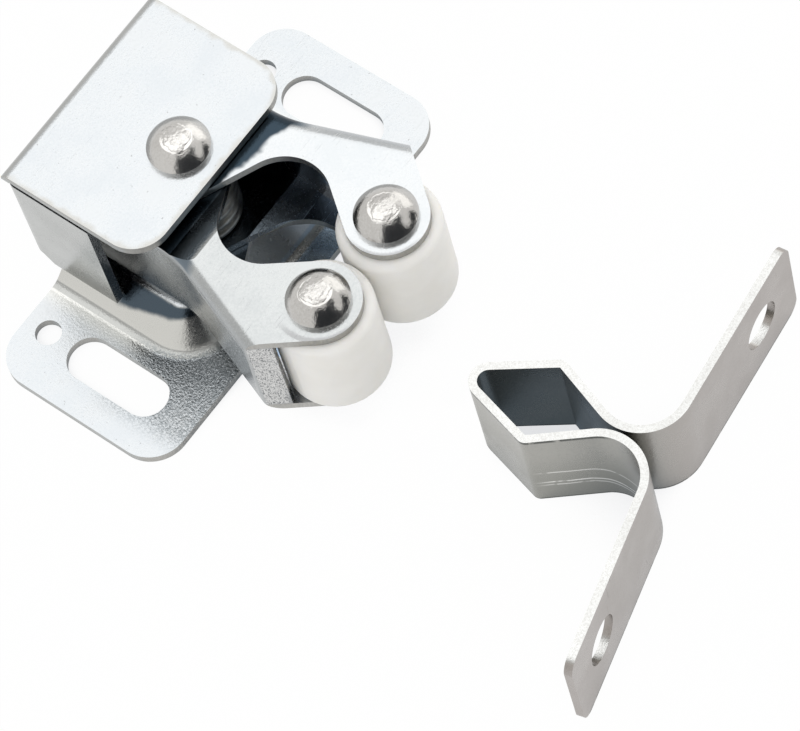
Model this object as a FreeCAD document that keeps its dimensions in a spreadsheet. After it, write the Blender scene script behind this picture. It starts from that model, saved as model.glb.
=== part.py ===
import FreeCAD, Part
import math
import os

Vector = FreeCAD.Vector
Rotation = FreeCAD.Rotation
Placement = FreeCAD.Placement

# Driving dimensions in millimetres and degrees. X runs across the catch, +Y points
# from the back wall towards the rollers and Z rises from the mounting face.
SIZES = {
    # Housing, folded from one sheet
    "housing_sheet": 1.0,
    "base_half_width": 23.8,
    "base_rear": 10.4,
    "base_front": 11.6,
    "base_corner": 4.0,
    "fixing_spacing": 35.7,
    "fixing_back": 7.5,
    "fixing_radius": 1.4,
    "slot_radius": 2.45,
    "slot_rear": -2.0,
    "slot_front": 5.2,
    "bridge_foot": 13.05,
    "bridge_top": 9.15,
    "bridge_height": 4.15,
    "bridge_front": 8.4,
    "bridge_corner": 5.6,
    "bridge_top_round": 1.8,
    "bridge_foot_round": 2.4,
    "cage_half_width": 12.0,
    "cage_height": 19.7,
    "cage_rear": 13.6,
    "roof_front": 4.75,
    "roof_corner": 3.8,
    "roof_fold_radius": 1.2,
    "flap_fold_radius": 1.6,
    "relief_margin": 0.2,
    "flap_front": 2.6,
    "flap_bottom": 3.05,
    "skirt_roof_gap": 0.6,
    "flap_chamfer": 1.2,
    # Arms, each folded from one sheet
    "arm_sheet": 1.0,
    "arm_lift": 0.15,
    "arm_roof_gap": 0.2,
    "arm_half_width": 9.2,
    "arm_tail": 8.0,
    "arm_knee": 6.0,
    "arm_knee_radius": 12.0,
    "arm_corner_x": 13.4,
    "arm_corner_back": 3.4,
    "arm_corner_radius": 0.6,
    "arm_corner_inside": 0.2,
    "arm_fold_radius": 1.7,
    "arm_lip": 2.3,
    "pivot_lug": 5.0,
    "roller_lug": 4.3,
    "notch_x": 1.1,
    "notch_share": 0.542,
    "notch_margin": 1.537,
    "joggle_margin": 0.4,
    "joggle_run": 2.9,
    "stack_gap": 0.1,
    # Rollers and rivets
    "roller_x": 5.45,
    "roller_y": 21.4,
    "roller_radius": 5.35,
    "roller_round": 0.9,
    "roller_end_gap": 0.1,
    "roller_dish_radius": 3.9,
    "roller_dish_depth": 0.3,
    "shank_radius": 1.6,
    "fixed_fit": 0.02,
    "turning_fit": 0.05,
    "head_radius": 3.25,
    "head_height": 1.9,
    "head_rim": 0.55,
    "peen_radius": 1.65,
    "foot_head_radius": 3.0,
    "foot_head_height": 1.5,
    # Torsion spring
    "spring_wire": 1.45,
    "spring_mean_radius": 3.5,
    "spring_coil_gap": 0.05,
    "spring_end_gap": 0.2,
    "spring_leg_back": 6.3,
    "spring_leg_gap": 0.05,
    # Strike, folded from one strip that stands on its edge
    "strike_sheet": 0.85,
    "strike_width": 12.7,
    "strike_length": 22.5,
    "strike_tip_radius": 2.0,
    "strike_wide_x": 3.73,
    "strike_wide_y": 14.7,
    "strike_wide_radius": 1.0,
    "strike_neck_gap": 0.3,
    "strike_flare_radius": 4.3,
    "strike_flare_y": 6.5,
    "strike_leg_span": 24.3,
    "strike_leg_corner": 1.6,
    "strike_hole_inset": 6.2,
    "strike_hole_radius": 2.6,
    "strike_x": -2.3,
    "strike_y": 58.2,
    "strike_turn": 10.6,
}

# Lengths in millimetres below which two places count as one
TINY = 1e-6
SLACK = 1e-3

doc = FreeCAD.newDocument("double_roller_catch")
sheet = doc.addObject("Spreadsheet::Sheet", "Sizes")
for row, (alias, value) in enumerate(SIZES.items(), start=1):
    sheet.set(f"A{row}", alias)
    sheet.set(f"B{row}", str(value))
    sheet.setAlias(f"B{row}", alias)
doc.recompute()


def size(alias):
    """Value of one cell of the sheet."""
    return float(sheet.get(alias))


def bind(item, **expressions):
    """Tie properties of a feature to cells; a double underscore stands for a dot."""
    for name, text in expressions.items():
        item.setExpression(name.replace("__", "."), text)


# Outlines


def heading(one, two):
    """Direction of the line that leaves circle one and meets circle two.

    A circle is (x, y, turn). A positive turn is the radius of a left-hand bend, a
    negative one that of a right-hand bend, and zero is a sharp corner.
    """
    across = two[0] - one[0]
    along = two[1] - one[1]
    return math.atan2(along, across) + math.asin((one[2] - two[2]) / math.hypot(across, along))


def touch(ring, angle):
    """Point where a line in this direction touches the circle."""
    return Vector(ring[0] + ring[2] * math.sin(angle), ring[1] - ring[2] * math.cos(angle), 0)


def belt(rings):
    """Closed outline of straight lines and arcs that runs round a list of circles."""
    edges = []
    count = len(rings)
    angles = [heading(rings[i], rings[(i + 1) % count]) for i in range(count)]
    for i, ring in enumerate(rings):
        start = touch(ring, angles[i - 1])
        end = touch(ring, angles[i])
        if abs(ring[2]) > TINY and start.distanceToPoint(end) > TINY:
            swing = (angles[i] - angles[i - 1]) % (2 * math.pi)
            if ring[2] < 0:
                swing -= 2 * math.pi
            middle = touch(ring, angles[i - 1] + swing / 2)
            edges.append(Part.Arc(start, middle, end))
        following = rings[(i + 1) % count]
        edges.append(Part.LineSegment(end, touch(following, angles[i])))
    return edges


def rounded(corners):
    """Closed outline through (x, y, radius) corners, listed counter-clockwise."""
    rings = []
    count = len(corners)
    for i, (x, y, radius) in enumerate(corners):
        before = Vector(corners[i - 1][0] - x, corners[i - 1][1] - y, 0).normalize()
        after = Vector(corners[(i + 1) % count][0] - x, corners[(i + 1) % count][1] - y, 0)
        after.normalize()
        if radius == 0:
            rings.append((x, y, 0))
            continue
        half = before.getAngle(after) / 2
        inward = (before + after).normalize() * (radius / math.sin(half))
        turn = radius if after.cross(before).z > 0 else -radius
        rings.append((x + inward.x, y + inward.y, turn))
    return belt(rings)


# Bodies and features


def origin_plane(body, role):
    """One of the three origin planes of a body."""
    return next(item for item in body.Origin.OriginFeatures if item.Role == role)


def new_body(name):
    body = doc.addObject("PartDesign::Body", name)
    body.Label = name
    return body


def new_sketch(body, name, role, geometry, offset=None):
    """Sketch on an origin plane, moved along its normal by the expression in offset."""
    sketch = body.newObject("Sketcher::SketchObject", name)
    sketch.AttachmentSupport = [(origin_plane(body, role), "")]
    sketch.MapMode = "FlatFace"
    if offset:
        sketch.setExpression("AttachmentOffset.Base.z", offset)
    sketch.addGeometry(geometry, False)
    doc.recompute()
    return sketch


def pad(body, name, sketch, length, midplane=False, reverse=False, taper=None):
    feature = body.newObject("PartDesign::Pad", name)
    feature.Profile = sketch
    feature.Midplane = midplane
    feature.Reversed = reverse
    feature.setExpression("Length", length)
    if taper:
        feature.setExpression("TaperAngle", taper)
    doc.recompute()
    return feature


def cut(body, name, sketch, length=None, midplane=False, reverse=False, taper=None):
    """Pocket of a given depth, or through everything; it must take material away."""
    before = body.Shape.Volume
    feature = body.newObject("PartDesign::Pocket", name)
    feature.Profile = sketch
    feature.Midplane = midplane
    feature.Reversed = reverse
    if length:
        feature.setExpression("Length", length)
    else:
        feature.Type = "ThroughAll"
    if taper:
        feature.setExpression("TaperAngle", taper)
    doc.recompute()
    if body.Shape.Volume > before - SLACK:
        raise RuntimeError(f"{name} removes nothing")
    return feature


def edges_where(shape, test):
    """Names of the edges whose bounding box passes the test."""
    return [f"Edge{i}" for i, edge in enumerate(shape.Edges, start=1) if test(edge.BoundBox)]


def fillet(body, name, test, radius):
    """Fillet on the edges that pass the test."""
    base = body.Tip
    names = edges_where(base.Shape, test)
    if not names:
        raise RuntimeError(f"{name} finds no edge")
    feature = body.newObject("PartDesign::Fillet", name)
    feature.Base = (base, names)
    feature.setExpression("Radius", radius)
    doc.recompute()
    return feature


def near(one, two):
    return abs(one - two) < SLACK


def level(box, height):
    """Whether an edge lies flat at this height."""
    return near(box.ZMin, height) and near(box.ZMax, height)


def circle(x, y, radius):
    return Part.Circle(Vector(x, y, 0), Vector(0, 0, 1), radius)


def at_pivot(height=0.0):
    """Place of the pivot axis in the frame whose origin lies between the fixing holes."""
    return Placement(Vector(0, size("fixing_back"), height), Rotation())


# Housing


def bridge_outline(step):
    """Plan of the raised middle, drawn in by a number of sheet thicknesses."""
    rise = size("bridge_height") - size("housing_sheet")
    slope = math.atan2(rise, size("bridge_foot") - size("bridge_top"))
    inset = step * size("housing_sheet") * math.tan(slope / 2)
    half = size("bridge_foot") - inset
    front = size("bridge_front") - inset
    corner = size("bridge_corner") - inset
    rear = -2 * size("cage_rear")
    return rounded([(-half, rear, 0), (half, rear, 0), (half, front, corner), (-half, front, corner)])


def make_housing():
    sheet_metal = size("housing_sheet")
    half = size("base_half_width")
    rear = -size("base_rear")
    front = size("base_front")
    corner = size("base_corner")
    wall = size("cage_half_width")
    back = -size("cage_rear")
    top = size("cage_height")
    body = new_body("housing")

    plan = rounded(
        [(-half, rear, corner), (half, rear, corner), (half, front, corner), (-half, front, corner)]
    )
    pad(body, "base_pad", new_sketch(body, "base_plan", "XY_Plane", plan), "Sizes.housing_sheet")

    rise = "Sizes.bridge_height - Sizes.housing_sheet"
    lean = f"-atan((Sizes.bridge_foot - Sizes.bridge_top) / ({rise}))"
    outer = new_sketch(body, "bridge_plan", "XY_Plane", bridge_outline(0), "Sizes.housing_sheet")
    pad(body, "bridge_pad", outer, rise, taper=lean)
    behind = 3 * size("cage_rear")
    trim = rounded([(-half, -behind, 0), (half, -behind, 0), (half, back, 0), (-half, back, 0)])
    cut(body, "bridge_trim", new_sketch(body, "trim_plan", "XY_Plane", trim), midplane=True)
    platform = size("bridge_height")
    fillet(
        body,
        "bridge_top_round",
        lambda box: level(box, platform) and not near(box.YMax, back),
        "Sizes.bridge_top_round",
    )
    foot = size("bridge_foot") + SLACK
    foot_front = size("bridge_front") + SLACK
    fillet(
        body,
        "bridge_foot_round",
        lambda box: level(box, sheet_metal) and box.XMax < foot and box.XMin > -foot
        and rear + SLACK < box.YMax < foot_front and not near(box.YMin, back),
        "Sizes.bridge_foot_round",
    )
    inner = new_sketch(body, "tunnel_plan", "XY_Plane", bridge_outline(1))
    cut(body, "tunnel", inner, rise, reverse=True, taper=lean)
    for side in (-1, 1):
        edge = side * size("bridge_top")
        beyond = side * half
        notch = [(edge, back - 1), (beyond, back - 1), (beyond, rear), (edge, rear)]
        if side < 0:
            notch.reverse()
        outline = rounded([(x, y, 0) for x, y in notch])
        sketch = new_sketch(body, f"side_trim_{side + 2}", "XY_Plane", outline)
        cut(body, f"side_trim_cut_{side + 2}", sketch, midplane=True)

    under = platform - sheet_metal
    fold = size("flap_fold_radius")
    roof_fold = size("roof_fold_radius")
    inner_back = back + sheet_metal
    inner_top = top - sheet_metal
    bend_inside = roof_fold - sheet_metal
    toe = inner_back + sheet_metal
    roof_front = size("roof_front")
    strip = rounded(
        [
            (back, under, 0),
            (toe, under, 0),
            (toe, platform, 0),
            (inner_back, platform, bend_inside),
            (inner_back, inner_top, bend_inside),
            (roof_front, inner_top, 0),
            (roof_front, top, 0),
            (back, top, roof_fold),
        ]
    )
    strip_sketch = new_sketch(body, "back_and_roof_view", "YZ_Plane", strip)
    pad(body, "back_and_roof", strip_sketch, "2 * Sizes.cage_half_width", midplane=True)
    relief = wall - fold - size("relief_margin")
    slit_top = top - roof_fold
    for side in (-1, 1):
        inner, outer = side * relief, side * wall
        slit = [(inner, under), (outer, under), (outer, slit_top), (inner, slit_top)]
        if side < 0:
            slit.reverse()
        outline = rounded([(x, z, 0) for x, z in slit])
        slit_sketch = new_sketch(body, f"relief_{side + 2}", "XZ_Plane", outline, "Sizes.cage_rear")
        cut(body, f"relief_cut_{side + 2}", slit_sketch, "2 * Sizes.housing_sheet")
    fillet(
        body,
        "roof_corners",
        lambda box: near(box.YMin, roof_front) and near(box.YMax, roof_front)
        and near(box.ZMin, inner_top) and near(box.ZMax, top),
        "Sizes.roof_corner",
    )

    flap_front = -size("flap_front")
    chamfer = size("flap_chamfer")
    bottom = size("flap_bottom")
    shoulder = bottom + chamfer
    inner_fold = fold - sheet_metal
    inner_wall = wall - sheet_metal
    cage = rounded(
        [
            (-wall, flap_front, 0),
            (-wall, back, fold),
            (wall, back, fold),
            (wall, flap_front, 0),
            (inner_wall, flap_front, 0),
            (inner_wall, inner_back, inner_fold),
            (-inner_wall, inner_back, inner_fold),
            (-inner_wall, flap_front, 0),
        ]
    )
    cage_sketch = new_sketch(body, "cage_plan", "XY_Plane", cage, "Sizes.flap_bottom + Sizes.flap_chamfer")
    cage_top = "Sizes.cage_height - Sizes.housing_sheet - Sizes.skirt_roof_gap"
    pad(body, "cage", cage_sketch, f"{cage_top} - Sizes.flap_bottom - Sizes.flap_chamfer")
    skirt = rounded(
        [
            (back + fold + chamfer, bottom, 0),
            (flap_front, bottom, 0),
            (flap_front, shoulder, 0),
            (back + fold, shoulder, 0),
        ]
    )
    for side, offset in (
        ("right", "Sizes.cage_half_width - Sizes.housing_sheet"),
        ("left", "-Sizes.cage_half_width"),
    ):
        skirt_sketch = new_sketch(body, f"skirt_{side}_view", "YZ_Plane", skirt, offset)
        pad(body, f"skirt_{side}", skirt_sketch, "Sizes.housing_sheet")

    holes = [circle(0, 0, size("shank_radius") + size("fixed_fit"))]
    reach = size("fixing_spacing") / 2
    for side in (-1, 1):
        holes.append(circle(side * reach, -size("fixing_back"), size("fixing_radius")))
        slot_ends = [(side * reach, size(end), size("slot_radius")) for end in ("slot_rear", "slot_front")]
        holes += belt(slot_ends)
    cut(body, "holes", new_sketch(body, "hole_plan", "XY_Plane", holes), reverse=True)
    body.Placement = at_pivot()
    return body


# Arms


def extrusion(name, geometry, plane, start, length):
    """Solid made by extruding a closed outline in the plan or the side view."""
    sketch = doc.addObject("Sketcher::SketchObject", f"{name}_sketch")
    if plane == "side":
        sketch.Placement = Placement(Vector(0, 0, 0), Rotation(Vector(1, 1, 1), 120))
        direction = Vector(1, 0, 0)
        sketch.setExpression("Placement.Base.x", start)
    else:
        direction = Vector(0, 0, 1)
        sketch.setExpression("Placement.Base.z", start)
    sketch.addGeometry(geometry, False)
    solid = doc.addObject("Part::Extrusion", name)
    solid.Base = sketch
    solid.DirMode = "Custom"
    solid.Dir = direction
    solid.Solid = True
    solid.setExpression("LengthFwd", length)
    doc.recompute()
    return solid


def boolean(kind, name, base, tool):
    item = doc.addObject(f"Part::{kind}", name)
    item.Base = base
    item.Tool = tool
    doc.recompute()
    return item


def arm_wall_line(inset):
    """Corners of the outer wall's face: tail, knee and front, moved in by a distance."""
    tail = Vector(size("arm_half_width"), -size("arm_tail"), 0)
    knee = Vector(size("arm_half_width"), size("arm_knee"), 0)
    front = Vector(size("arm_corner_x"), size("roller_y") - size("arm_corner_back"), 0)
    splay = (front - knee).normalize()
    lug = (size("roller_x"), size("roller_y"), size("roller_lug"))
    turn = heading((front.x, front.y, 0), lug)
    lip = Vector(math.cos(turn), math.sin(turn), 0)
    splay_side = Vector(-splay.y, splay.x, 0)
    lip_side = Vector(-lip.y, lip.x, 0)
    bend = math.atan2(splay.x, splay.y)
    knee_in = knee + Vector(-inset, inset * math.tan(bend / 2), 0)
    half = splay.getAngle(lip) / 2
    front_in = front + (splay_side + lip_side).normalize() * (inset / math.cos(half))
    tail_in = tail + Vector(-inset, 0, 0)
    return tail_in, knee_in, front_in, lip


def arm_height():
    """Height of an arm, which fills the room between the bridge and the roof."""
    inner_top = size("cage_height") - size("housing_sheet")
    return inner_top - size("arm_roof_gap") - size("bridge_height") - size("arm_lift")


ARM_HEIGHT = (
    "(Sizes.cage_height - Sizes.housing_sheet - Sizes.arm_roof_gap - Sizes.bridge_height - Sizes.arm_lift)"
)


def notch_circle():
    """Throat between the two lugs, as wide as their distance allows."""
    x = size("notch_x")
    y = size("notch_share") * size("roller_y")
    to_pivot = math.hypot(x, y) - size("pivot_lug")
    to_roller = math.hypot(size("roller_x") - x, size("roller_y") - y) - size("roller_lug")
    return (x, y, size("notch_margin") - (to_pivot + to_roller) / 2)


def make_arm(name, flipped):
    """One stamping; the left arm is the same part turned over end for end."""
    metal = size("arm_sheet")
    tail, knee, front, lip = arm_wall_line(0)
    lug = (size("roller_x"), size("roller_y"), size("roller_lug"))
    corner_turn = size("arm_corner_radius")
    splay = (front - knee).normalize()
    inward = (Vector(-splay.y, splay.x, 0) + Vector(-lip.y, lip.x, 0)).normalize()
    inward = inward * (corner_turn / math.cos(splay.getAngle(lip) / 2))
    bend = math.atan2(splay.x, splay.y)
    knee_turn = size("arm_knee_radius")
    knee_centre = knee + Vector(knee_turn, -knee_turn * math.tan(bend / 2), 0)
    plan = belt(
        [
            (tail.x, tail.y, 0),
            (knee_centre.x, knee_centre.y, -knee_turn),
            (front.x + inward.x, front.y + inward.y, corner_turn),
            lug,
            notch_circle(),
            (0, 0, size("pivot_lug")),
        ]
    )
    outline = extrusion(f"{name}_plan", plan, "plan", "0", ARM_HEIGHT)

    far = 3 * size("roller_y")
    ahead_of_wall = knee + splay * far
    wall = rounded(
        [
            (tail.x, -far, 0),
            (knee.x, knee.y, knee_turn),
            (ahead_of_wall.x, ahead_of_wall.y, 0),
            (-far, ahead_of_wall.y, 0),
            (-far, -far, 0),
        ]
    )
    block = extrusion(f"{name}_wall", wall, "plan", "0", ARM_HEIGHT)
    fold = doc.addObject("Part::Fillet", f"{name}_folds")
    fold.Base = block
    along_wall = []
    for i, edge in enumerate(block.Shape.Edges, start=1):
        box = edge.BoundBox
        if box.ZLength < SLACK and box.XMin > size("arm_half_width") - SLACK:
            along_wall.append(i)
    radius = size("arm_fold_radius")
    fold.Edges = [(i, radius, radius) for i in along_wall]
    doc.recompute()
    outer = boolean("Common", f"{name}_outer", outline, fold)

    height = arm_height()
    drop = size("arm_sheet") + size("stack_gap")
    rear = size("pivot_lug") + size("joggle_margin")
    ahead = rear + size("joggle_run")
    side = rounded(
        [
            (-far, 0, 0),
            (far, 0, 0),
            (far, height, 0),
            (ahead, height, 0),
            (rear, height - drop, 0),
            (-far, height - drop, 0),
        ]
    )
    envelope = extrusion(f"{name}_side", side, "side", "-Sizes.roller_y", "2 * Sizes.roller_y")
    body = boolean("Common", f"{name}_blank", outer, envelope)

    tail_in, knee_in, front_in, lip = arm_wall_line(metal)
    lip_end = front_in + lip * size("arm_lip")
    lip_out = lip_end + Vector(lip.y, -lip.x, 0) * (3 * metal)
    hollow = rounded(
        [
            (tail_in.x, -far, 0),
            (knee_in.x, knee_in.y, knee_turn + metal),
            (front_in.x, front_in.y, size("arm_corner_inside")),
            (lip_end.x, lip_end.y, 0),
            (lip_out.x, lip_out.y, 0),
            (0, far, 0),
            (-far, far, 0),
            (-far, -far, 0),
        ]
    )
    hollow_plan = extrusion(f"{name}_hollow_plan", hollow, "plan", "0", ARM_HEIGHT)
    run = metal * math.tan(math.atan2(drop, ahead - rear) / 2)
    hollow_side = rounded(
        [
            (-far, metal, 0),
            (far, metal, 0),
            (far, height - metal, 0),
            (ahead + run, height - metal, 0),
            (rear + run, height - drop - metal, 0),
            (-far, height - drop - metal, 0),
        ]
    )
    hollow_view = extrusion(
        f"{name}_hollow_side", hollow_side, "side", "-Sizes.roller_y", "2 * Sizes.roller_y"
    )
    hollow_solid = boolean("Common", f"{name}_hollow", hollow_plan, hollow_view)
    channel = boolean("Cut", f"{name}_channel", body, hollow_solid)

    pins = []
    for label, x, y, fit in (
        ("pivot", "0", "0", "turning_fit"),
        ("roller", "Sizes.roller_x", "Sizes.roller_y", "fixed_fit"),
    ):
        pin = doc.addObject("Part::Cylinder", f"{name}_{label}_hole")
        bind(
            pin,
            Radius=f"Sizes.shank_radius + Sizes.{fit}",
            Height=ARM_HEIGHT,
            Placement__Base__x=x,
            Placement__Base__y=y,
        )
        pins.append(pin)
    doc.recompute()
    drilled = boolean("Cut", f"{name}_pivot_cut", channel, pins[0])
    arm = boolean("Cut", name, drilled, pins[1])
    arm.Label = name
    base = size("bridge_height") + size("arm_lift")
    if flipped:
        arm.Placement = Placement(
            Vector(0, size("fixing_back"), base + height), Rotation(Vector(0, 1, 0), 180)
        )
    else:
        arm.Placement = at_pivot(base)
    return arm


# Rollers and rivets


def make_roller(name, side):
    body = new_body(name)
    radius = size("roller_radius")
    bore = size("shank_radius") + size("turning_fit")
    length = arm_height() - 2 * size("arm_sheet") - 2 * size("roller_end_gap")
    dish = size("roller_dish_radius")
    depth = size("roller_dish_depth")
    edge = size("roller_round")
    half = rounded(
        [
            (bore, depth, 0),
            (dish, depth, 0),
            (dish, 0, 0),
            (radius, 0, edge),
            (radius, length, edge),
            (dish, length, 0),
            (dish, length - depth, 0),
            (bore, length - depth, 0),
        ]
    )
    sketch = new_sketch(body, f"{name}_section", "XZ_Plane", half)
    feature = body.newObject("PartDesign::Revolution", f"{name}_turned")
    feature.Profile = sketch
    feature.ReferenceAxis = (sketch, ["V_Axis"])
    feature.Angle = 360
    doc.recompute()
    base = size("bridge_height") + size("arm_lift") + size("arm_sheet") + size("roller_end_gap")
    body.Placement = Placement(
        Vector(side * size("roller_x"), size("fixing_back") + size("roller_y"), base), Rotation()
    )
    return body


def dome(radius, height, rim, flat, seat, upward):
    """Edges of a rivet head's section, from its seat to its axis."""
    sign = 1 if upward else -1
    rise = height - rim
    centre = (flat ** 2 + rise ** 2 - radius ** 2) / (2 * rise)
    ball = math.hypot(radius, centre)
    start = math.atan2(-centre, radius)
    end = math.atan2(rise - centre, flat)
    middle = (start + end) / 2
    rim_z = seat + sign * rim
    top = Vector(flat, seat + sign * height, 0)
    bulge = Vector(ball * math.cos(middle), rim_z + sign * (centre + ball * math.sin(middle)), 0)
    return [
        Part.LineSegment(Vector(radius, seat, 0), Vector(radius, rim_z, 0)),
        Part.Arc(Vector(radius, rim_z, 0), bulge, top),
        Part.LineSegment(top, Vector(0, seat + sign * height, 0)),
    ]


def make_rivet(name, grip, foot_radius, foot_height, placement):
    """Rivet with a domed head above its grip and a formed head below it."""
    body = new_body(name)
    shank = size("shank_radius")
    head = size("head_radius")
    rim = size("head_rim")
    flat = size("peen_radius")
    foot_rim = rim * foot_height / size("head_height")
    section = dome(head, size("head_height"), rim, flat, grip, True)
    section += dome(foot_radius, foot_height, foot_rim, flat, 0, False)
    section += [
        Part.LineSegment(Vector(0, -foot_height, 0), Vector(0, grip + size("head_height"), 0)),
        Part.LineSegment(Vector(foot_radius, 0, 0), Vector(shank, 0, 0)),
        Part.LineSegment(Vector(shank, 0, 0), Vector(shank, grip, 0)),
        Part.LineSegment(Vector(shank, grip, 0), Vector(head, grip, 0)),
    ]
    sketch = new_sketch(body, f"{name}_section", "XZ_Plane", section)
    feature = body.newObject("PartDesign::Revolution", f"{name}_turned")
    feature.Profile = sketch
    feature.ReferenceAxis = (sketch, ["V_Axis"])
    feature.Angle = 360
    doc.recompute()
    body.Placement = placement
    return body


# Spring


def make_spring():
    """Close-wound torsion spring whose two legs push the tails of the arms apart."""
    wire = size("spring_wire")
    mean = size("spring_mean_radius")
    inside = size("arm_half_width") - size("arm_sheet") - size("spring_leg_gap") - wire / 2
    end = Vector(inside, -size("spring_leg_back"), 0)
    start_angle = math.atan2(end.y, end.x) + math.acos(mean / end.Length)
    start = Vector(mean * math.cos(start_angle), mean * math.sin(start_angle), 0)
    lower = size("bridge_height") + size("arm_lift") + 2 * size("arm_sheet") + size("stack_gap")
    upper = lower + arm_height() - 4 * size("arm_sheet") - 2 * size("stack_gap")
    low = lower + size("spring_end_gap") + wire / 2
    high = upper - size("spring_end_gap") - wire / 2
    part_turn = (math.pi - 2 * start_angle) / (2 * math.pi)
    turns = math.floor((high - low) / (wire + size("spring_coil_gap")) - part_turn) + part_turn

    coil = Part.makeHelix((high - low) / turns, high - low, mean)
    coil.Placement = Placement(Vector(0, 0, low), Rotation(Vector(0, 0, 1), math.degrees(start_angle)))
    climb = (high - low) / (2 * math.pi * turns)
    flow = Vector(-start.y, start.x, climb).normalize()
    reach = start.distanceToPoint(end)
    legs = []
    for side, level in ((1, low), (-1, high)):
        root = Vector(side * start.x, start.y, level)
        tip = Vector(side * end.x, end.y, level)
        outward = Vector(-side * flow.x, -flow.y, -side * flow.z)
        straight = (tip - root).normalize()
        leg = Part.BezierCurve()
        leg.setPoles([root, root + outward * (reach / 3), tip - straight * (reach / 3), tip])
        legs.append(leg.toShape())
    path = doc.addObject("Part::Feature", "spring_path")
    path.Shape = Part.Wire(Part.__sortEdges__([legs[0]] + coil.Edges + [legs[1]]))
    ring = doc.addObject("Part::Circle", "spring_ring")
    bind(ring, Radius="Sizes.spring_wire / 2")
    aim = end - start
    ring.Placement = Placement(end + Vector(0, 0, low), Rotation(Vector(0, 0, 1), aim))
    doc.recompute()
    spring = doc.addObject("Part::Sweep", "spring")
    spring.Sections = [ring]
    spring.Spine = (path, [f"Edge{i + 1}" for i in range(len(path.Shape.Edges))])
    spring.Solid = True
    spring.Frenet = True
    spring.Label = "spring"
    doc.recompute()
    spring.Placement = at_pivot()
    return spring


# Strike


def make_strike():
    """Arrow-headed spring clip that the rollers snap over."""
    metal = size("strike_sheet")
    bend = size("strike_flare_radius")
    flare_x = size("strike_neck_gap") / 2 + metal + bend
    flare_y = size("strike_flare_y")
    wide = size("strike_wide_radius")
    tip = size("strike_tip_radius")
    wide_x = size("strike_wide_x")
    wide_y = size("strike_wide_y")
    tip_y = size("strike_length") - tip
    span = size("strike_leg_span")
    front = (span, metal)
    slope = heading((front[0], front[1], 0), (flare_x, flare_y, -bend))
    back = (span - metal * math.sin(slope), metal + metal * math.cos(slope))
    outline = belt(
        [
            (front[0], front[1], 0),
            (flare_x, flare_y, -bend),
            (wide_x, wide_y, wide),
            (0, tip_y, tip),
            (-wide_x, wide_y, wide),
            (-flare_x, flare_y, -bend),
            (-front[0], front[1], 0),
            (-back[0], back[1], 0),
            (-flare_x, flare_y, bend + metal),
            (-wide_x, wide_y, metal - wide),
            (0, tip_y, metal - tip),
            (wide_x, wide_y, metal - wide),
            (flare_x, flare_y, bend + metal),
            (back[0], back[1], 0),
        ]
    )
    body = new_body("strike")
    sketch = new_sketch(body, "strip_plan", "XY_Plane", outline)
    pad(body, "strip", sketch, "Sizes.strike_width")
    width = size("strike_width")
    fillet(
        body,
        "leg_corners",
        lambda box: box.ZLength < SLACK and min(abs(box.XMin), abs(box.XMax)) > span - metal
        and box.XLength < metal and box.YLength > metal / 2
        and (near(box.ZMin, 0) or near(box.ZMin, width)),
        "Sizes.strike_leg_corner",
    )
    lean = 180 - math.degrees(slope)
    along = Vector(math.cos(slope), math.sin(slope), 0)
    spot = Vector(front[0], front[1], 0) + along * size("strike_hole_inset")
    for side, name in ((1, "right"), (-1, "left")):
        screw = circle(0, 0, size("strike_hole_radius"))
        sketch = new_sketch(body, f"screw_{name}_view", "XZ_Plane", [screw])
        sketch.AttachmentOffset = Placement(
            Vector(side * spot.x, width / 2, -spot.y), Rotation(Vector(0, 1, 0), -side * lean)
        )
        doc.recompute()
        cut(body, f"screw_{name}", sketch, "4 * Sizes.strike_sheet", midplane=True)
    body.Placement = Placement(
        Vector(size("strike_x"), size("fixing_back") + size("strike_y"), 0),
        Rotation(Vector(0, 0, 1), 180 + size("strike_turn")),
    )
    return body


# Assembly

housing_floor = size("bridge_height") - size("housing_sheet")
pivot_grip = size("cage_height") - housing_floor
roller_level = size("bridge_height") + size("arm_lift")
parts = [make_housing(), make_arm("arm_right", False), make_arm("arm_left", True)]
parts.append(make_rivet(
    "pivot_rivet", pivot_grip, size("foot_head_radius"), size("foot_head_height"), at_pivot(housing_floor)
))
for label, side in (("right", 1), ("left", -1)):
    parts.append(make_roller(f"roller_{label}", side))
    spot = Vector(side * size("roller_x"), size("fixing_back") + size("roller_y"), roller_level)
    parts.append(make_rivet(
        f"roller_rivet_{label}", arm_height(), size("head_radius"), size("head_height"),
        Placement(spot, Rotation())
    ))
parts.append(make_spring())
parts.append(make_strike())
doc.recompute()

for item in doc.Objects:
    if "Invalid" in item.State or "Error" in item.State:
        raise RuntimeError(f"{item.Name} is in state {item.State}")
for item in parts:
    if item.Shape.isNull() or not item.Shape.isValid():
        raise RuntimeError(f"{item.Label} has no valid shape")
    if len(item.Shape.Solids) != 1:
        raise RuntimeError(f"{item.Label} has {len(item.Shape.Solids)} solids")

os.makedirs("parts", exist_ok=True)
for item in parts:
    item.Shape.exportStep(f"parts/{item.Label}.step")
    box = item.Shape.BoundBox
    print(
        f"{item.Label:20s} {item.Shape.Volume:9.2f} mm3  "
        f"x {box.XMin:7.2f} {box.XMax:7.2f}  "
        f"y {box.YMin:7.2f} {box.YMax:7.2f}  "
        f"z {box.ZMin:6.2f} {box.ZMax:6.2f}"
    )
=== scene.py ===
import math
import bpy
from mathutils import Matrix, Vector


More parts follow.
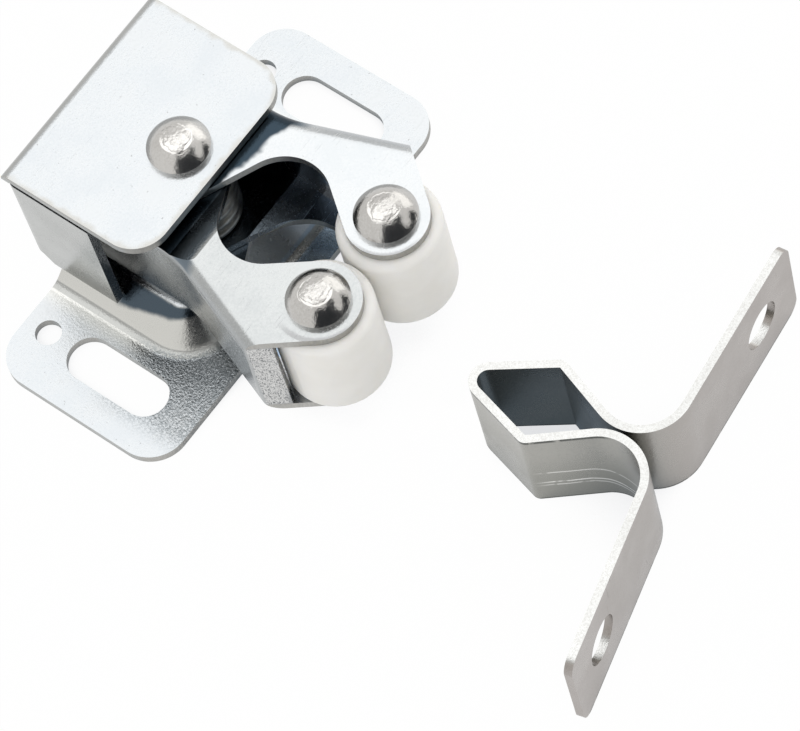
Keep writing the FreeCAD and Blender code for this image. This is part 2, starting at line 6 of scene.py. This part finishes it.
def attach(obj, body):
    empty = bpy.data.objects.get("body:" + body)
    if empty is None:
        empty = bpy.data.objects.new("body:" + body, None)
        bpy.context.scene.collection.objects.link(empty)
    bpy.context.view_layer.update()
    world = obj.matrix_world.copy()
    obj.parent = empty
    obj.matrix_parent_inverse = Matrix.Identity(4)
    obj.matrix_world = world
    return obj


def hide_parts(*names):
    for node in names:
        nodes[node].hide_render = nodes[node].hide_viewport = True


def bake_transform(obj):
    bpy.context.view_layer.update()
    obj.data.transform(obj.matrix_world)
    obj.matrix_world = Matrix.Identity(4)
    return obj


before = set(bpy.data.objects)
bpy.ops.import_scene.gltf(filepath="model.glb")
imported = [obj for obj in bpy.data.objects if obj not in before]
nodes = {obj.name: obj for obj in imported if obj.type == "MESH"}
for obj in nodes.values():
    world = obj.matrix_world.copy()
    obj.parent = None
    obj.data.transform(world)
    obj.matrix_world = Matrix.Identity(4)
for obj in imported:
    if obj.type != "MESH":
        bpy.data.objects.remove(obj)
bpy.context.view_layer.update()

# Sizes shared with the source, in millimetres. The origin lies on the board between the fixing
# holes, +X is the right arm's side, +Y points to the strike and Z away from the board.
MM = 0.001
SHEET = 1.0
PIVOT = 7.5
BRIDGE_HEIGHT = 4.15
BRIDGE_TOP = 9.15
BRIDGE_FOOT = 13.05
CAGE_HALF_WIDTH = 12.0
CAGE_HEIGHT = 19.7
CAGE_BACK = PIVOT - 13.6
ROOF_FRONT = PIVOT + 4.75
ROOF_CORNER = 3.8
ARM_BOTTOM = BRIDGE_HEIGHT + 0.15
ARM_TOP = CAGE_HEIGHT - SHEET - 0.2
ROLLER_LUG = 4.3
ROLLER_X = 5.45
ROLLER_Y = PIVOT + 21.4
PEEN_RADIUS = 1.65
STRIKE_SHEET = 0.85
STRIKE_WIDTH = 12.7
STRIKE_X = -2.3
STRIKE_Y = PIVOT + 58.2
STRIKE_TURN = math.radians(190.6)

# The spring's wire, coil and legs. LEG_TIP is seen from the pivot axis.
WIRE = 1.45
COIL_MEAN = 3.5
COIL_LOW = 7.325
COIL_HIGH = 15.475
COIL_TURNS = 5
LEG_TIP = (7.425, -6.3)

# Heights between which upright faces are sheared edges of the sheet: the ears and the roof, and the
# lower and the upper lugs.
HOUSING_CUTS = ((-1.0, SHEET - 0.01), (CAGE_HEIGHT - SHEET + 0.02, CAGE_HEIGHT + 0.1))
ARM_CUTS = ((ARM_BOTTOM - 0.1, ARM_BOTTOM + SHEET), (ARM_TOP - SHEET + 0.02, ARM_TOP + 0.1))


# Materials


class Shader:
    """A node material. add() makes a node, sets its options and fills or links its inputs."""

    def __init__(self, name):
        self.material = bpy.data.materials.new(name)
        self.material.use_nodes = True
        self.tree = self.material.node_tree
        self.tree.nodes.clear()
        self.output = self.tree.nodes.new("ShaderNodeOutputMaterial")

    def add(self, kind, options=None, inputs=None):
        node = self.tree.nodes.new("ShaderNode" + kind)
        for key, value in (options or {}).items():
            setattr(node, key, value)
        for key, value in (inputs or {}).items():
            if isinstance(value, bpy.types.NodeSocket):
                self.tree.links.new(value, node.inputs[key])
            else:
                node.inputs[key].default_value = value
        return node

    def math(self, operation, one, two=0.0):
        return self.add("Math", {"operation": operation}, {0: one, 1: two}).outputs[0]

    def plus(self, one, two):
        return self.math("ADD", one, two)

    def minus(self, one, two):
        return self.math("SUBTRACT", one, two)

    def times(self, first, *others):
        for other in others:
            first = self.math("MULTIPLY", first, other)
        return first

    def absolute(self, value):
        return self.math("ABSOLUTE", value)

    def reach(self, one, two):
        """Length of the diagonal over two sides."""
        squares = self.plus(self.math("POWER", one, 2.0), self.math("POWER", two, 2.0))
        return self.math("SQRT", squares)

    def mix(self, factor, one, two):
        """Blend of two colours."""
        inputs = {"Factor": factor, 6: one, 7: two}
        return self.add("Mix", {"data_type": "RGBA"}, inputs).outputs[2]

    def step(self, value, low, high, out_low, out_high):
        """Smooth way from out_low to out_high while a value goes from low to high."""
        return self.add("MapRange", {"interpolation_type": "SMOOTHSTEP"}, {
            "Value": value, "From Min": low, "From Max": high, "To Min": out_low, "To Max": out_high,
        }).outputs[0]

    def rise(self, value, low, high, top=1.0):
        return self.step(value, low, high, 0.0, top)

    def fall(self, value, low, high, top=1.0):
        return self.step(value, low, high, top, 0.0)

    def place(self, scale=(1, 1, 1), turn=(0, 0, 0)):
        """Position on the piece in metres, turned and stretched."""
        spot = self.add("TexCoord").outputs["Object"]
        return self.add("Mapping", None, {"Vector": spot, "Scale": scale, "Rotation": turn}).outputs[0]

    def split(self, vector):
        return self.add("SeparateXYZ", None, {0: vector}).outputs

    def lengths(self, spot):
        """X, Y and Z in millimetres of a position in metres."""
        scaled = self.add("VectorMath", {"operation": "SCALE"}, {0: spot, "Scale": 1 / MM})
        return self.split(scaled.outputs[0])

    def facing(self):
        """X, Y and Z of the direction that the surface looks in."""
        return self.split(self.add("NewGeometry").outputs["Normal"])

    def noise(self, where, scale, detail=2.0, rough=0.5):
        inputs = {"Vector": where, "Scale": scale, "Detail": detail, "Roughness": rough}
        return self.add("TexNoise", None, inputs).outputs["Fac"]

    def bump(self, height, depth, normal=None):
        """Surface direction after a relief; depth is the height of 1, in millimetres."""
        inputs = {"Height": height, "Distance": depth * MM, "Strength": 1.0}
        if normal:
            inputs["Normal"] = normal
        return self.add("Bump", None, inputs).outputs[0]

    def finish(self, shader):
        self.tree.links.new(shader.outputs[0], self.output.inputs["Surface"])
        return self.material


def zinc(name, bright, dull, roughness, grain=1.0, scratch=1.0, cut=(), inside=False, more=None):
    """Bright zinc plate: cloudy tone, fine speckle, soft orange peel and a few handling scratches.

    cut lists the heights, in millimetres, between which upright faces are sheared edges of the sheet.
    inside paints shade on the faces that look towards the pivot's plane and a bluish painted shade on the
    lower plate.
    more adds its own marks: it takes the shader, colour, roughness and normal and gives the last
    three back.
    """
    pit_grey = (0.22, 0.22, 0.22, 1)
    painted_inner_shade = (0.25, 0.27, 0.30, 1)
    painted_plate_shade = (0.33, 0.42, 0.52, 1)
    torn_dark = (0.32, 0.315, 0.30, 1)
    torn_light = (0.56, 0.55, 0.52, 1)
    plate_top = ARM_BOTTOM + SHEET + 0.2
    plate_half_width = 8.3
    cut_blur = 0.03

    s = Shader(name)
    here = s.place()
    x, _, z = s.lengths(here)
    face_x, _, face_z = s.facing()
    cloud = s.noise(here, 190, 3.0)
    speck = s.noise(here, 3800, 2.0, 0.7)
    peel = s.noise(here, 1300)
    tone = s.plus(s.times(cloud, 0.6), s.times(speck, 0.4))
    colour = s.mix(s.rise(tone, 0.36, 0.62), dull, bright)
    pits = s.rise(s.noise(here, 2600, 2.0, 0.6), 0.70, 0.76, 0.5 * grain)
    colour = s.mix(pits, colour, pit_grey)

    if inside:
        # Faces that look towards the pivot's plane get painted shade.
        inward_shade_mask = s.fall(s.times(x, face_x), -4.0, -2.0)
        colour = s.mix(inward_shade_mask, colour, painted_inner_shade)
        # Upward faces of the lower plate get a bluish painted shade.
        lower = s.times(s.fall(z, plate_top, plate_top + 0.1), s.rise(face_z, 0.7, 0.9))
        lower = s.times(lower, s.fall(s.absolute(x), plate_half_width, plate_half_width + 0.2))
        colour = s.mix(lower, colour, painted_plate_shade)

    streak = s.noise(s.place((260, 14000, 260), (0, 0, 0.62)), 1.0, 1.0)
    patch = s.rise(s.noise(here, 120, 1.0), 0.5, 0.62)
    marks = s.times(s.rise(streak, 0.70, 0.74), patch, 0.5 * scratch)
    rough = s.step(cloud, 0.3, 0.7, roughness * 0.8, roughness * 1.15)
    rough = s.plus(rough, s.times(marks, 0.25))
    rough = s.plus(rough, s.rise(speck, 0.5, 0.8, 0.07 * grain))
    normal = s.bump(peel, 0.006 * grain)
    normal = s.bump(speck, 0.016 * grain, normal)
    normal = s.bump(marks, 0.004, normal)

    if cut:
        upright = s.fall(s.absolute(face_z), 0.06, 0.2)
        sheared = 0.0
        for low, high in cut:
            band = s.times(s.rise(z, low - cut_blur, low), s.fall(z, high, high + cut_blur), upright)
            sheared = s.math("MAXIMUM", sheared, band)
        tear = s.noise(s.place((5200, 5200, 1500)), 1.0, 2.0, 0.6)
        colour = s.mix(sheared, colour, s.mix(tear, torn_dark, torn_light))
        rough = s.plus(rough, s.times(sheared, 0.14))
        normal = s.bump(s.times(sheared, tear), 0.03, normal)

    if more:
        colour, rough, normal = more(s, colour, rough, normal)
    metal = s.add("BsdfPrincipled", None, {
        "Base Color": colour, "Metallic": 1.0, "Roughness": rough, "Normal": normal,
    })
    return s.finish(metal)


def formed(s, colour, rough, normal):
    """Housing: bright and dark bends round the bridge as painted light and painted shade, a pitted ear
    and a worn rim on the roof.
    """
    painted_slope_light = (0.64, 0.64, 0.615, 1)
    painted_foot_light = (0.60, 0.60, 0.58, 1)
    painted_bend_shade = (0.36, 0.365, 0.355, 1)
    flap_tone = (0.455, 0.465, 0.455, 1)
    pit_dark = (0.12, 0.14, 0.15, 1)
    painted_slope_shade = (0.075, 0.10, 0.125, 1)
    rim_tone = (0.40, 0.395, 0.375, 1)

    x, y, z = s.lengths(s.place())
    face_x, _, face_z = s.facing()
    beside = s.absolute(x)
    soft = s.minus(s.noise(s.place(), 700, 3.0), 0.5)

    # The bridge's two slopes, lightened with painted light.
    tilted = s.times(s.rise(face_z, 0.3, 0.5), s.fall(face_z, 0.86, 0.94))
    slope = s.times(
        tilted, s.rise(beside, BRIDGE_TOP - 0.75, BRIDGE_TOP - 0.35),
        s.fall(z, BRIDGE_HEIGHT + 0.05, BRIDGE_HEIGHT + 0.25),
    )
    colour = s.mix(slope, colour, painted_slope_light)

    # The strip of the ear beside the bridge's foot, lightened with painted light, and the bend between
    # the two, darkened with painted shade.
    ear = s.fall(z, SHEET + 0.05, SHEET + 0.25)
    foot = s.times(s.fall(beside, BRIDGE_FOOT + 0.35, BRIDGE_FOOT + 2.75), s.fall(y, 8.5, 11.5))
    colour = s.mix(s.times(ear, foot), colour, painted_foot_light)
    # Painted shade on the bend holds down the highlight that it catches.
    bend = s.times(s.rise(face_z, 0.86, 0.90), s.fall(face_z, 0.985, 0.997), s.fall(z, 1.7, 1.9))
    colour = s.mix(bend, colour, painted_bend_shade)

    # The outside of the side flaps.
    outer = s.rise(beside, CAGE_HALF_WIDTH - 1.0, CAGE_HALF_WIDTH - 0.8)
    colour = s.mix(s.times(s.rise(s.absolute(face_x), 0.9, 0.97), outer), colour, flap_tone)

    # The right ear gets rougher towards its front.
    pitted = s.times(ear, s.rise(x, 0.0, 1.0), s.rise(y, 6.5, 11.5), s.fall(x, 19.0, 22.5))
    pits = s.noise(s.place(), 4200, 2.0, 0.7)
    normal = s.bump(s.times(pitted, pits), 0.04, normal)
    colour = s.mix(s.times(pitted, s.step(pits, 0.42, 0.58, 0.10, 0.62)), colour, pit_dark)

    # The slopes' upper part, from a border that climbs to the front, darkened with painted shade.
    border = s.plus(2.0, s.times(s.minus(y, 4.7), 0.165))
    above = s.minus(z, s.plus(border, s.times(soft, 0.3)))
    dark = s.times(s.rise(above, -0.1, 0.3), s.rise(y, 4.0, 4.8))
    colour = s.mix(s.times(slope, dark), colour, painted_slope_shade)

    # The roof's rim: round its front with the two corners, and along the bend at the back.
    corner_x = s.math("MAXIMUM", s.minus(beside, CAGE_HALF_WIDTH - ROOF_CORNER), 0.0)
    corner_y = s.math("MAXIMUM", s.minus(y, ROOF_FRONT - ROOF_CORNER), 0.0)
    out = s.plus(s.reach(corner_x, corner_y), s.times(soft, 1.4))
    front = s.rise(out, ROOF_CORNER - 0.7, ROOF_CORNER)
    back = s.fall(y, CAGE_BACK + 0.3, CAGE_BACK + 1.3)
    roof = s.rise(z, CAGE_HEIGHT - 0.5, CAGE_HEIGHT - 0.3, 0.8)
    worn = s.times(s.math("MAXIMUM", front, back), roof)
    colour = s.mix(worn, colour, rim_tone)
    return colour, rough, normal


def stamped(s, colour, rough, normal):
    """Arms: painted shade in the joggle by the roof and along its edge, torn front lips with painted
    shade at their foot, and a rolled rim round each lug darkened as painted shade.
    """
    painted_joggle_shade = (0.13, 0.165, 0.20, 1)
    painted_roof_edge_shade = (0.03, 0.045, 0.06, 1)
    lip_light = (0.68, 0.68, 0.67, 1)
    lip_dark = (0.14, 0.15, 0.16, 1)
    painted_lip_foot_shade = (0.05, 0.065, 0.085, 1)
    painted_rolled_rim_shade = (0.22, 0.22, 0.225, 1)

    x, y, z = s.lengths(s.place())
    _, face_y, face_z = s.facing()
    beside = s.absolute(x)

    # The upper lug where it dips under the other one, and a band along the roof's edge, both darkened as
    # painted shade: a dark reflection of the roof.
    near = s.plus(y, s.times(s.minus(s.noise(s.place(), 420), 0.5), 1.6))
    dip_shade_mask = s.times(s.fall(near, 15.0, 16.4), s.fall(z, ARM_TOP - 0.2, ARM_TOP - 0.02))
    colour = s.mix(s.times(dip_shade_mask, s.rise(face_z, 0.3, 0.5, 0.9)), colour, painted_joggle_shade)
    strip = s.plus(near, s.times(s.math("MINIMUM", x, 0.0), 0.21))
    # This band is painted shade, a dark reflection of the roof's edge.
    band = s.times(s.fall(strip, 12.7, 13.3), s.rise(face_z, 0.3, 0.5), s.rise(z, 12.0, 14.0))
    colour = s.mix(band, colour, painted_roof_edge_shade)

    # The narrow end of each side wall, torn by the cut, with painted shade near its foot.
    ahead = s.times(s.rise(y, 25.0, 25.3), s.rise(face_y, 0.4, 0.6), s.rise(beside, 10.0, 10.3))
    lower, upper = ARM_BOTTOM + SHEET, ARM_TOP - SHEET
    lip = s.times(ahead, s.rise(z, lower, lower + 0.2), s.fall(z, upper - 0.2, upper))
    torn = s.noise(s.place((7000, 7000, 3500)), 1.0, 3.0, 0.7)
    colour = s.mix(lip, colour, s.mix(s.rise(torn, 0.48, 0.62), lip_light, lip_dark))
    foot = s.times(s.fall(z, 6.2, 9.2), s.fall(beside, 11.2, 12.2))
    colour = s.mix(s.times(lip, foot), colour, painted_lip_foot_shade)
    normal = s.bump(s.times(lip, torn), 0.12, normal)

    # The rim of each lug, on its side towards +X and +Y, darkened as painted shade.
    ragged = s.times(s.minus(torn, 0.5), 0.5)
    for axis_x in (ROLLER_X, -ROLLER_X):
        dx = s.minus(x, axis_x)
        dy = s.minus(y, ROLLER_Y)
        away = s.plus(s.reach(dx, dy), ragged)
        along = s.plus(s.times(dx, 0.75), s.times(dy, 0.49))
        rolled = s.times(
            s.rise(away, ROLLER_LUG - 0.4, ROLLER_LUG - 0.1),
            s.fall(away, ROLLER_LUG + 0.2, ROLLER_LUG + 0.4), s.rise(along, 1.8, 3.4),
        )
        colour = s.mix(s.times(rolled, s.rise(face_z, 0.9, 0.97, 0.6)), colour, painted_rolled_rim_shade)
    return colour, rough, normal


def forming_lines(s, colour, rough, normal):
    """Strike: bright sheared rims, warmer legs, painted shade on the lower head and three thin drawn
    lines.
    """
    rim_dull = (0.47, 0.47, 0.46, 1)
    rim_bright = (0.55, 0.555, 0.55, 1)
    leg_tone = (0.405, 0.37, 0.352, 1)
    painted_head_shade = (0.27, 0.27, 0.245, 1)
    line_bright = (0.80, 0.79, 0.76, 1)
    burr_dark = (0.05, 0.055, 0.05, 1)

    face_z = s.facing()[2]
    rim = s.rise(face_z, 0.8, 0.95)
    side = s.minus(1.0, rim)
    torn = s.noise(s.place((6500, 6500, 6500)), 1.0, 2.0, 0.6)
    colour = s.mix(rim, colour, s.mix(s.rise(torn, 0.35, 0.6), rim_dull, rim_bright))
    normal = s.bump(s.times(rim, torn), 0.02, normal)

    # The strike's own frame: its head points along +Y, and the legs lie at Y below 0.
    own = s.add("Mapping", {"vector_type": "TEXTURE"}, {
        "Vector": s.add("TexCoord").outputs["Object"],
        "Location": (STRIKE_X * MM, STRIKE_Y * MM, 0), "Rotation": (0, 0, STRIKE_TURN),
    }).outputs[0]
    x, y, z = s.lengths(own)
    colour = s.mix(s.times(s.fall(y, 0.0, 6.0), side, 0.8), colour, leg_tone)
    # The head's sides darken towards the board as painted shade.
    lower_head_shade = s.times(s.rise(y, 4.5, 6.5), side, s.fall(z, 3.0, 10.5, 0.75))
    colour = s.mix(lower_head_shade, colour, painted_head_shade)

    # Three lines along one flank, each as height and strength. They run lower at the neck.
    flank = s.times(
        s.fall(x, -STRIKE_SHEET + 0.05, -STRIKE_SHEET + 0.25), s.rise(y, 3.0, 5.0), s.fall(y, 12.5, 14.8),
    )
    level = s.plus(z, s.fall(y, 5.0, 9.8, 1.8))
    level = s.plus(level, s.times(s.noise(own, 320, 1.0), 0.3))
    for height, strength in ((5.8, 0.7), (3.7, 1.0), (3.1, 0.7)):
        away = s.absolute(s.minus(level, height))
        broken = s.step(s.noise(own, 500 + 50 * height), 0.36, 0.46, 0.15, 1.0)
        line = s.times(s.fall(away, 0.05, 0.17, strength), flank, broken)
        colour = s.mix(line, colour, line_bright)
        normal = s.bump(line, 0.01, normal)

    # Dark burr under the head's upper rim and along the lower one.
    head_flank = s.times(s.rise(y, 6.5, 7.5), s.fall(x, -1.2, -0.9))
    upper = s.times(
        s.rise(z, STRIKE_WIDTH - 0.55, STRIKE_WIDTH - 0.3), s.fall(face_z, 0.5, 0.8), head_flank,
    )
    burr = s.math("MAXIMUM", upper, s.fall(z, 0.12, 0.3, 0.8))
    colour = s.mix(s.times(burr, s.rise(s.noise(own, 900), 0.32, 0.44, 0.9)), colour, burr_dark)
    return colour, rough, normal


def hammered(s, colour, rough, normal):
    """Rivet heads: the middle is beaten to a low uneven crown in a faint ring, and the dome is dented."""
    crown_radius = 6.2
    ring_radius = 1.5

    here = s.place()
    x, y, _ = s.lengths(here)
    normal = s.bump(s.noise(here, 1100, 3.0, 0.6), 0.03, normal)
    nearest = 1000.0
    for axis_x, axis_y in ((0.0, PIVOT), (ROLLER_X, ROLLER_Y), (-ROLLER_X, ROLLER_Y)):
        nearest = s.math("MINIMUM", nearest, s.reach(s.minus(x, axis_x), s.minus(y, axis_y)))
    within = s.math("MINIMUM", nearest, PEEN_RADIUS)
    crown = s.times(s.math("POWER", within, 2.0), -1 / (2 * crown_radius))
    normal = s.bump(crown, 1.0, normal)
    ring = s.plus(nearest, s.times(s.minus(s.noise(here, 900), 0.5), 1.4))
    flat = s.fall(ring, 0.3, 1.7)
    groove = s.fall(s.absolute(s.minus(ring, ring_radius)), 0.05, 0.2, 0.5)
    height = s.minus(s.times(flat, s.noise(here, 1500, 3.0, 0.6)), s.times(groove, 0.15))
    normal = s.bump(height, 0.22, normal)
    return colour, s.plus(rough, s.times(flat, 0.08)), normal


def nylon(name):
    """Milky white plastic that lets some light through."""
    s = Shader(name)
    here = s.place()
    cloud = s.noise(here, 260, 3.0)
    plastic = s.add("BsdfPrincipled", None, {
        "Base Color": s.mix(s.rise(cloud, 0.3, 0.7), (0.91, 0.90, 0.87, 1), (0.96, 0.95, 0.92, 1)),
        "Roughness": s.step(cloud, 0.3, 0.7, 0.38, 0.5), "Normal": s.bump(s.noise(here, 4200), 0.003),
        "Subsurface Weight": 0.5, "Subsurface Radius": (1.0, 0.95, 0.85),
        "Subsurface Scale": 1.6 * MM, "IOR": 1.53,
    })
    return s.finish(plastic)


def drawn_wire(name):
    """Dark spring wire."""
    s = Shader(name)
    here = s.place()
    cloud = s.noise(here, 500, 3.0)
    fine = s.noise(here, 6000)
    metal = s.add("BsdfPrincipled", None, {
        "Base Color": s.mix(s.rise(cloud, 0.35, 0.65), (0.24, 0.25, 0.25, 1), (0.40, 0.41, 0.40, 1)),
        "Metallic": 1.0, "Roughness": s.step(fine, 0.3, 0.8, 0.3, 0.5), "Normal": s.bump(fine, 0.004),
    })
    return s.finish(metal)


def wear(piece, material):
    """Put one material on a piece."""
    piece.data.materials.clear()
    piece.data.materials.append(material)


housing_zinc = zinc(
    "housing_zinc", bright=(0.50, 0.518, 0.532, 1), dull=(0.447, 0.47, 0.49, 1), roughness=0.25,
    grain=1.2, cut=HOUSING_CUTS, inside=True, more=formed,
)
# The two arms share one zinc: the right arm's colours are darker as painted shade and the left arm's
# lighter as painted light.
arm_zinc = {
    "right": zinc(
        "arm_zinc_right_painted_shade", bright=(0.445, 0.46, 0.462, 1), dull=(0.385, 0.40, 0.405, 1), roughness=0.25,
        scratch=1.8, cut=ARM_CUTS, inside=True, more=stamped,
    ),
    "left": zinc(
        "arm_zinc_left_painted_light", bright=(0.52, 0.535, 0.545, 1), dull=(0.475, 0.495, 0.51, 1), roughness=0.24,
        scratch=1.4, cut=ARM_CUTS, inside=True, more=stamped,
    ),
}
rivet_steel = zinc(
    "rivet_steel", bright=(0.61, 0.60, 0.585, 1), dull=(0.53, 0.52, 0.505, 1), roughness=0.18,
    grain=0.8, scratch=0.4, more=hammered,
)
strike_zinc = zinc(
    "strike_zinc", bright=(0.395, 0.39, 0.362, 1), dull=(0.34, 0.335, 0.312, 1), roughness=0.30,
    more=forming_lines,
)
white_nylon = nylon("white_nylon")
spring_wire = drawn_wire("spring_wire")

wear(nodes["housing"], housing_zinc)
for side in ("right", "left"):
    wear(nodes[f"arm_{side}"], arm_zinc[side])
    wear(nodes[f"roller_{side}"], white_nylon)
    wear(nodes[f"roller_rivet_{side}"], rivet_steel)
wear(nodes["pivot_rivet"], rivet_steel)
wear(nodes["strike"], strike_zinc)


# Torsion spring


def tube(name, path, radius, count=20):
    """Round wire along a list of points, closed at both ends."""
    verts = []
    faces = []
    side = None
    for i, point in enumerate(path):
        before = path[max(i - 1, 0)]
        after = path[min(i + 1, len(path) - 1)]
        along = (after - before).normalized()
        if side is None:
            side = along.orthogonal().normalized()
        side = (side - along * side.dot(along)).normalized()
        up = along.cross(side)
        for k in range(count):
            turn = 2 * math.pi * k / count
            verts.append(point + (side * math.cos(turn) + up * math.sin(turn)) * radius)
    for i in range(len(path) - 1):
        for k in range(count):
            a = i * count + k
            b = i * count + (k + 1) % count
            faces.append((a, b, b + count, a + count))
    faces.append(tuple(reversed(range(count))))
    faces.append(tuple(range((len(path) - 1) * count, len(path) * count)))
    mesh = bpy.data.meshes.new(name)
    mesh.from_pydata(verts, [], faces)
    mesh.shade_smooth()
    piece = bpy.data.objects.new(name, mesh)
    bpy.context.scene.collection.objects.link(piece)
    wear(piece, spring_wire)
    return piece


def bezier(poles, count):
    """Points along a cubic curve with four poles."""
    points = []
    for i in range(count + 1):
        u = i / count
        v = 1 - u
        weights = (v ** 3, 3 * u * v * v, 3 * u * u * v, u ** 3)
        points.append(sum((pole * weight for pole, weight in zip(poles, weights)), Vector()))
    return points


# The coil starts where the right leg, drawn from its tip, touches the mean circle, and ends at the
# mirrored spot after its full turns.
coil_start = math.atan2(LEG_TIP[1], LEG_TIP[0]) + math.acos(COIL_MEAN / math.hypot(*LEG_TIP))
coil_angle = 2 * math.pi * COIL_TURNS + math.pi - 2 * coil_start
coil_steps = 300
coil_path = []
for i in range(coil_steps + 1):
    share = i / coil_steps
    angle = coil_start + coil_angle * share
    x = COIL_MEAN * math.cos(angle)
    y = PIVOT + COIL_MEAN * math.sin(angle)
    z = COIL_LOW + (COIL_HIGH - COIL_LOW) * share
    coil_path.append(Vector((x, y, z)) * MM)
coil = tube("spring_coil", coil_path, WIRE / 2 * MM)
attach(coil, "housing_body")
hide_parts("spring")

# Each leg leaves the coil along its end and follows its arm.
leg_steps = 24
for side, name, level, root, inner in (
    (1, "right", COIL_LOW, coil_path[0], coil_path[1]),
    (-1, "left", COIL_HIGH, coil_path[-1], coil_path[-2]),
):
    tip = Vector((side * LEG_TIP[0], PIVOT + LEG_TIP[1], level)) * MM
    third = (tip - root) / 3
    flow = (root - inner).normalized() * third.length
    leg_path = bezier([root, root + flow, tip - third, tip], leg_steps)
    leg = tube(f"spring_leg_{name}", leg_path, WIRE / 2 * MM)
    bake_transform(leg)


# Studio

STAGE_MIDDLE = Vector((0.0, 0.03, 0.01))


def stage_mesh(name, verts, faces, material):
    """An object of the studio, which isn't part of the product."""
    mesh = bpy.data.meshes.new(name)
    mesh.from_pydata(verts, [], faces)
    mesh.materials.append(material)
    thing = bpy.data.objects.new(name, mesh)
    bpy.context.scene.collection.objects.link(thing)
    return thing


def floor_material():
    """White to the camera with a light shadow; in reflections darker and bluer by the object."""
    white = (1, 1, 1, 1)
    shade = (0.72, 0.73, 0.75, 1)
    mirrored_shade = (0.14, 0.18, 0.225, 1)
    paper_grey = (0.88, 0.88, 0.88, 1)
    glow_share = 0.985

    s = Shader("studio_floor")
    rays = s.add("LightPath")
    camera_ray = rays.outputs["Is Camera Ray"]
    seen = s.math("MAXIMUM", camera_ray, rays.outputs["Is Glossy Ray"])
    seen = s.math("MAXIMUM", seen, rays.outputs["Is Transmission Ray"])
    open_sky = s.add("AmbientOcclusion", {"samples": 8}, {"Distance": 0.02}).outputs["AO"]
    mirrored = s.mix(s.rise(open_sky, 0.08, 0.62), mirrored_shade, white)
    direct = s.mix(s.rise(open_sky, 0.02, 0.45), shade, white)
    paper = s.add("BsdfDiffuse", None, {"Color": paper_grey})
    glow = s.add("Emission", None, {"Color": s.mix(camera_ray, mirrored, direct), "Strength": 1.0})
    inputs = {0: s.times(seen, glow_share), 1: paper.outputs[0], 2: glow.outputs[0]}
    return s.finish(s.add("MixShader", None, inputs))


def card_material():
    s = Shader("dark_card")
    return s.finish(s.add("BsdfDiffuse", None, {"Color": (0.042, 0.045, 0.050, 1)}))


def softbox(name, direction, distance, width, height, radiance, tint, diffuse):
    """Lamp that faces the middle of the stage; diffuse says whether it lights matt surfaces too."""
    light = bpy.data.lights.new(name, "AREA")
    light.shape = "RECTANGLE"
    light.size = width
    light.size_y = height
    light.energy = math.pi * radiance * width * height
    light.color = tint
    lamp = bpy.data.objects.new(name, light)
    aim = Vector(direction).normalized()
    turn = aim.to_track_quat("Z", "Y").to_matrix().to_4x4()
    lamp.matrix_world = Matrix.Translation(STAGE_MIDDLE + aim * distance) @ turn
    lamp.visible_camera = False
    lamp.visible_diffuse = diffuse
    bpy.context.scene.collection.objects.link(lamp)


def dark_card():
    """Black cloth hung round one side, cut open for two patches of light; only reflections see it."""
    radius = 0.6
    azimuths = range(21, 158, 2)
    elevations = range(2, 61, 2)
    # Each opening as first and last azimuth, first and last elevation, in degrees.
    slit = (103, 125, 18, 46)
    sky_patch = (125, 157, 24, 60)
    open_end = (149, 157, 2, 60)

    verts = []
    for azimuth in azimuths:
        for elevation in elevations:
            turn, lift = math.radians(azimuth), math.radians(elevation)
            verts.append(STAGE_MIDDLE + radius * Vector((math.cos(turn), math.sin(turn), math.tan(lift))))
    faces = []
    for i, azimuth in enumerate(azimuths[:-1]):
        for k, elevation in enumerate(elevations[:-1]):
            if any(
                a <= azimuth < b and c <= elevation < d for a, b, c, d in (slit, sky_patch, open_end)
            ):
                continue
            corner = i * len(elevations) + k
            beyond = corner + len(elevations)
            faces.append((corner, corner + 1, beyond + 1, beyond))
    card = stage_mesh("dark_card", verts, faces, card_material())
    card.visible_camera = False
    card.visible_diffuse = False
    card.visible_shadow = False


def studio_floor():
    """Square floor a hair below the board's face."""
    half = 2.0
    level = -0.02 * MM
    verts = [(-half, -half, level), (half, -half, level), (half, half, level), (-half, half, level)]
    stage_mesh("studio_floor", verts, [(0, 1, 2, 3)], floor_material())


studio_floor()
softbox(
    "softbox_top", direction=(-0.15, -0.32, 0.93), distance=0.55, width=0.75, height=0.50,
    radiance=1.02, tint=(1.0, 1.0, 1.0), diffuse=False,
)
softbox(
    "softbox_side", direction=(-0.925, -0.08, 0.37), distance=0.6, width=0.50, height=0.34,
    radiance=0.78, tint=(1.0, 0.99, 0.96), diffuse=True,
)
dark_card()

world = bpy.data.worlds.new("studio")
bpy.context.scene.world = world
world.use_nodes = True
background = world.node_tree.nodes["Background"]
background.inputs["Color"].default_value = (0.97, 0.96, 0.94, 1)
background.inputs["Strength"].default_value = 0.96

# The camera's lens and place were solved from the photo.
camera = bpy.data.objects.new("camera", bpy.data.cameras.new("camera"))
camera.data.sensor_width = 36.0
camera.data.lens = 232.30
camera.data.clip_start = 0.01
camera.data.clip_end = 20.0
camera.matrix_world = Matrix((
    (-0.59817, -0.75236, 0.27593, 0.142612),
    (0.78753, -0.48819, 0.37611, 0.225033),
    (-0.14827, 0.44228, 0.88453, 0.454161),
    (0, 0, 0, 1),
))
bpy.context.scene.collection.objects.link(camera)
bpy.context.scene.camera = camera
bpy.context.scene.view_settings.view_transform = "Standard"
